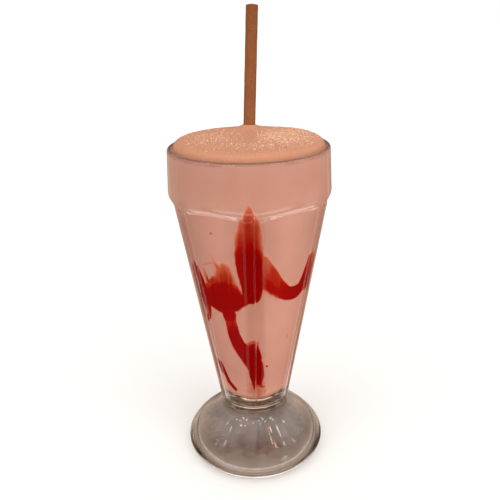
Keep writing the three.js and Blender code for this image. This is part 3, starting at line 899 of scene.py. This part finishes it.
def pressed_glass():
    """Clear pressed glass, a little grey-brown through its thickness, with the faint ripple and the uneven
    polish of a mould, painted shade on the ribs and the lip, and a worn base, neck and foot. Lamps shine
    through it."""
    material, tree, shader, output = new_material("pressed_glass")
    polish = range_node(tree, grain_node(tree, 60, 3), 0, GLASS_POLISH)
    rub = range_node(tree, attribute_node(tree, "worn"), 0, BASE_ROUGHNESS)
    fill(tree, shader, {
        "Base Color": ramp_node(tree, attribute_node(tree, "rib"), PAINTED_SHADE_COLOURS),
        "Transmission Weight": 1,
        "IOR": GLASS_IOR,
        "Roughness": math_node(tree, "ADD", polish, rub),
        "Normal": bump_node(tree, grain_node(tree, 45, 1), 0.0006, 0.25),
    })
    shadow = add_node(tree, "LightPath", "Is Shadow Ray", {})
    clear = add_node(tree, "BsdfTransparent", "BSDF", {})
    surface = add_node(tree, "MixShader", "Shader", {0: shadow, 1: shader.outputs["BSDF"], 2: clear})
    tint = add_node(tree, "VolumeAbsorption", "Volume", {"Color": GLASS_TINT, "Density": GLASS_TINT_DENSITY})
    fill(tree, output, {"Surface": surface, "Volume": tint})
    return material


def pale_band_glass():
    """Pale, matt and uneven glass for the pale band in the foot."""
    material, tree, shader, _ = new_material("pale_band_glass")
    speckle = grain_node(tree, 500, 3, 0.7)
    tone = ramp_node(tree, speckle, [(0.35, (0.70, 0.66, 0.62)), (0.7, (0.95, 0.92, 0.88))])
    fill(tree, shader, {"Base Color": tone, "Roughness": 0.6})
    return material


def strawberry_shake():
    """Thick pink shake, faintly mottled, with painted light that makes it a little brighter low down and a
    little darker up high, and warmer bubbly froth on top.
    """
    material, tree, shader, _ = new_material("strawberry_shake")
    mottled = ramp_node(tree, grain_node(tree, 70, 4, 0.6), SHAKE_COLOURS)
    height = add_node(tree, "SeparateXYZ", "Z", {"Vector": add_node(tree, "TexCoord", "Object", {})})
    level = math_node(tree, "MULTIPLY", height, 1 / (GLASS_HEIGHT * MM))
    body = multiply_node(tree, mottled, ramp_node(tree, level, SHAKE_PAINTED_LIGHT))
    bubbles = grain_node(tree, 1300, 2, 0.7)
    froth = ramp_node(tree, bubbles, FROTH_COLOURS)
    fill(tree, shader, {
        "Base Color": mix_node(tree, attribute_node(tree, "froth"), body, froth),
        "Roughness": 0.5,
        "Specular IOR Level": 0.05,
        "Normal": bump_node(tree, bubbles, 0.0003, 0.5),
    })
    return material


def froth_bubble():
    """Skin of the small bubbles: warm and shiny, and pale, partly as painted highlight that stands in for
    their sparkle.
    """
    material, tree, shader, _ = new_material("froth_bubble")
    # The pale tone is partly painted highlight, for the sparkle on the bubbles
    tone = ramp_node(tree, grain_node(tree, 400, 1), [(0.3, (0.70, 0.40, 0.24)), (0.7, (0.88, 0.64, 0.44))])
    fill(tree, shader, {"Base Color": tone, "Roughness": 0.12})
    return material


def strawberry_syrup():
    """Syrup over shake: pink where it is thinnest, through salmon and red to a deep red where thick."""
    material, tree, shader, _ = new_material("strawberry_syrup")
    fill(tree, shader, {
        "Base Color": ramp_node(tree, attribute_node(tree, "syrup"), SYRUP_COLOURS),
        "Roughness": range_node(tree, grain_node(tree, 200, 2), 0.3, 0.5),
        "Specular IOR Level": 0,
    })
    return material


def brown_paper():
    """Brown wound paper: fine fibres, a darker line where the strip overlaps, and painted light that makes it
    paler near the froth, which throws light on it, and darker towards the top.
    """
    material, tree, shader, _ = new_material("brown_paper")
    fibre = grain_node(tree, 900, 4, 0.7)
    colour = ramp_node(tree, fibre, [(0.3, (0.20, 0.067, 0.024)), (0.7, (0.28, 0.10, 0.038))])
    for name, stops in (("winding", LAP_COLOURS), ("height", STRAW_PAINTED_LIGHT)):
        colour = multiply_node(tree, colour, ramp_node(tree, attribute_node(tree, name), stops))
    fill(tree, shader, {
        "Base Color": colour,
        "Roughness": 0.75,
        "Specular IOR Level": 0.15,
        "Normal": bump_node(tree, fibre, 0.0002, 0.4),
    })
    return material


def pale_floor():
    """Matt white floor, faintly mottled."""
    material, tree, shader, _ = new_material("pale_floor")
    tone = ramp_node(tree, grain_node(tree, 3, 2), [(0.3, (0.88, 0.88, 0.87)), (0.7, (0.9, 0.9, 0.89))])
    fill(tree, shader, {"Base Color": tone, "Roughness": 0.9})
    return material


# Stage, lights and camera

def make_floor():
    """A wide round floor under the foot: a ring of quads round a fan of triangles."""
    rings = round_points(np.array(FLOOR_RADII)[:, None], full_turn(FLOOR_SIDES), np.zeros((2, 1)))
    points = np.concatenate([rings.reshape(-1, 3), np.zeros((1, 3))])
    column = np.arange(FLOOR_SIDES)
    middle = np.full(FLOOR_SIDES, 2 * FLOOR_SIDES)
    fan = np.stack([FLOOR_SIDES + column, FLOOR_SIDES + (column + 1) % FLOOR_SIDES, middle], -1)
    floor = put_mesh("floor", points, [ring_quads(2, FLOOR_SIDES, 0), fan], pale_floor())
    floor.visible_glossy = False
    floor.visible_transmission = False


def from_front(azimuth, elevation):
    """Direction at an angle round from the front and an angle above the floor, in degrees."""
    azimuth, elevation = math.radians(azimuth), math.radians(elevation)
    return Vector((math.sin(azimuth) * math.cos(elevation), -math.cos(azimuth) * math.cos(elevation),
                   math.sin(elevation)))


# Colours of the room: the sky up from the horizon, the table from front to back, and the factors by which
# clutter and stains make them patchy
SKY_COLOURS = [
    (0.0, (0.24, 0.19, 0.16)),
    (0.25, (0.32, 0.28, 0.25)),
    (0.6, (0.55, 0.53, 0.52)),
    (1.0, (0.75, 0.75, 0.75)),
]
TABLE_COLOURS = [
    (0.25, (0.02, 0.016, 0.012)),
    (0.45, (0.10, 0.077, 0.058)),
    (0.7, (0.20, 0.15, 0.112)),
    (0.82, (0.39, 0.295, 0.23)),
    (0.9, (0.47, 0.365, 0.295)),
    (1.0, (0.235, 0.165, 0.12)),
]
CLUTTER_SHADES = [(0.38, (0.35, 0.35, 0.35)), (0.5, (0.95, 0.95, 0.95)), (0.68, (2.5, 2.5, 2.5))]
STAIN_SHADES = [(0.35, (0.5, 0.5, 0.5)), (0.65, (1.9, 1.9, 1.9))]


def room_axes(tree, place):
    """Parts of a direction in the room, which is turned as the panels turn what they mirror: to the right,
    to the back and up, sideways over forwards, and backwards over sideways."""
    sockets = {"Vector": place, "Angle": -ROOM_TURN}
    turned = add_node(tree, "VectorRotate", "Vector", sockets, rotation_type="Z_AXIS")
    axes = {key.lower(): add_node(tree, "SeparateXYZ", key, {"Vector": turned}) for key in "XYZ"}
    across = math_node(tree, "ABSOLUTE", axes["x"])
    axes["aside"] = math_node(tree, "DIVIDE", across, math_node(tree, "MULTIPLY", axes["y"], -1))
    axes["astern"] = math_node(tree, "DIVIDE", axes["y"], across)
    return axes


def room_colour(tree, place, axes, bounced):
    """A patchy sky above and a stained table below. Light that a matt piece has thrown back sees a plain
    sky and the pale floor instead."""
    clutter = noise_node(tree, place, 5, 3)
    sky = ramp_node(tree, axes["z"], SKY_COLOURS)
    patchy_sky = multiply_node(tree, sky, ramp_node(tree, clutter, CLUTTER_SHADES))
    away = math_node(tree, "MULTIPLY_ADD", axes["y"], 0.5, 0.5)
    table = ramp_node(tree, away, TABLE_COLOURS)
    stained_table = multiply_node(tree, table, ramp_node(tree, clutter, STAIN_SHADES))
    below = mix_node(tree, bounced, stained_table, (*FLOOR_BOUNCE, 1))
    above = mix_node(tree, bounced, patchy_sky, sky)
    return mix_node(tree, math_node(tree, "GREATER_THAN", axes["z"], 0), below, above)


def band_node(tree, value, low, high, soft):
    """One where a value lies between low and high and zero outside, with soft ends."""
    rise = smooth_node(tree, value, low - soft, low + soft)
    fall = smooth_node(tree, value, high + soft, high - soft)
    return math_node(tree, "MULTIPLY", rise, fall)


def card_node(tree, axes, brightness, bands):
    """Glow of a card: its brightness times the bands of direction that bound it."""
    glow = brightness
    for axis, ends in bands.items():
        glow = math_node(tree, "MULTIPLY", band_node(tree, axes[axis], *ends), glow)
    return glow


def glint_node(tree, place, azimuth, elevation, spread):
    """One within a small round light and zero outside, from the cosine of the angle to its middle."""
    sockets = {0: place, 1: from_front(azimuth, elevation)}
    toward = add_node(tree, "VectorMath", "Value", sockets, operation="DOT_PRODUCT")
    rim, core = (math.cos(math.radians(share * spread)) for share in GLINT_EDGE)
    return smooth_node(tree, toward, rim, core)


def glow_node(tree, colour, strength=1):
    """A background of a linked or plain colour and strength."""
    return add_node(tree, "Background", "Background", {"Color": colour, "Strength": strength})


def make_world():
    """White to the camera. The glass mirrors and shows a room with cards low down and small lights, which
    don't light the matt pieces. The world isn't sampled as a lamp, because then they would."""
    world = bpy.data.worlds.new("studio")
    bpy.context.scene.world = world
    world.use_nodes = True
    world.cycles.sampling_method = "NONE"
    tree = world.node_tree
    tree.nodes.clear()
    output = tree.nodes.new("ShaderNodeOutputWorld")
    place = add_node(tree, "TexCoord", "Generated", {})
    path = tree.nodes.new("ShaderNodeLightPath")
    bounced = math_node(tree, "GREATER_THAN", path.outputs["Diffuse Depth"], 0.5)
    unbounced = math_node(tree, "SUBTRACT", 1, bounced)
    outside = math_node(tree, "LESS_THAN", path.outputs["Transmission Depth"], 0.5)
    axes = room_axes(tree, place)
    white = card_node(tree, axes, *LOW_CARD)
    for card in (STRIP_CARD, SIDE_CARD):
        white = math_node(tree, "MAXIMUM", white, card_node(tree, axes, *card))
    under = math_node(tree, "MULTIPLY", card_node(tree, axes, *UNDER_CARD), outside)
    nadir = card_node(tree, axes, *NADIR_CARD)
    lights = [(white, CARD_GLOW, WHITE_CARD_COLOUR), (under, CARD_GLOW, UNDER_CARD_COLOUR),
              (nadir, CARD_GLOW, NADIR_CARD_COLOUR)]
    for azimuth, elevation, spread, brightness, colour in GLINTS:
        lights.append((glint_node(tree, place, azimuth, elevation, spread), brightness, colour))
    total = glow_node(tree, room_colour(tree, place, axes, bounced))
    for share, brightness, colour in lights:
        strength = math_node(tree, "MULTIPLY", math_node(tree, "MULTIPLY", share, unbounced), brightness)
        total = add_node(tree, "AddShader", "Shader", {0: total, 1: glow_node(tree, (*colour, 1), strength)})
    seen = glow_node(tree, (1, 1, 1, 1))
    surface = add_node(tree, "MixShader", "Shader", {0: path.outputs["Is Camera Ray"], 1: total, 2: seen})
    fill(tree, output, {"Surface": surface})


def make_sun(name, azimuth, elevation, power):
    """A broad soft light from an angle round from the front and an angle above the floor, which the
    glass doesn't mirror."""
    light = bpy.data.lights.new(name, "SUN")
    light.energy = power
    light.angle = SUN_SPREAD
    light.color = SUN_COLOUR
    body = bpy.data.objects.new(name, light)
    body.rotation_euler = from_front(azimuth, elevation).to_track_quat("Z", "Y").to_euler()
    body.visible_glossy = False
    body.visible_transmission = False
    bpy.context.scene.collection.objects.link(body)


def make_camera():
    """The photograph's view: the camera's right and up axes are pitched down, then rolled."""
    right = Vector((1, 0, 0))
    up = Vector((0, math.sin(CAMERA_PITCH), math.cos(CAMERA_PITCH)))
    rolled_right = right * math.cos(CAMERA_ROLL) - up * math.sin(CAMERA_ROLL)
    rolled_up = up * math.cos(CAMERA_ROLL) + right * math.sin(CAMERA_ROLL)
    back = rolled_right.cross(rolled_up)
    data = bpy.data.cameras.new("camera")
    data.lens = CAMERA_LENS
    data.sensor_width = CAMERA_SENSOR
    data.clip_start, data.clip_end = CAMERA_CLIP
    camera = bpy.data.objects.new("camera", data)
    turn = Matrix((rolled_right, rolled_up, back)).transposed()
    camera.matrix_world = Matrix.Translation(Vector(CAMERA_PLACE) * MM) @ turn.to_4x4()
    bpy.context.scene.collection.objects.link(camera)
    bpy.context.scene.camera = camera


def dress():
    """Makes every piece, sets it on the body and hides the solids that it stands in for."""
    syrup = strawberry_syrup()
    shake = strawberry_shake()
    pieces = [
        (make_glass(pressed_glass()), "clear_glass", ["glass"]),
        (make_pale_band(pale_band_glass()), "clear_glass", []),
        (make_shake(shake), "pink_shake", ["shake"]),
        (make_bubbles(froth_bubble()), "pink_shake", []),
        (make_syrup("syrup_front_film", FRONT_STROKES, syrup), "red_syrup", ["syrup_front"]),
        (make_syrup("syrup_streak_film", STREAK_STROKES, syrup), "red_syrup", ["syrup_streak"]),
        (make_syrup("syrup_back_film", BACK_STROKES, syrup), "red_syrup", ["syrup_back"]),
        (make_straw(brown_paper()), "straw_paper", ["straw"]),
    ]
    for piece, slot, nodes in pieces:
        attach(piece, "root")
        if nodes:
            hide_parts(*nodes)


dress()
make_floor()
make_world()
for sun in SUNS:
    make_sun(*sun)
make_camera()
bpy.context.scene.view_settings.view_transform = "Standard"
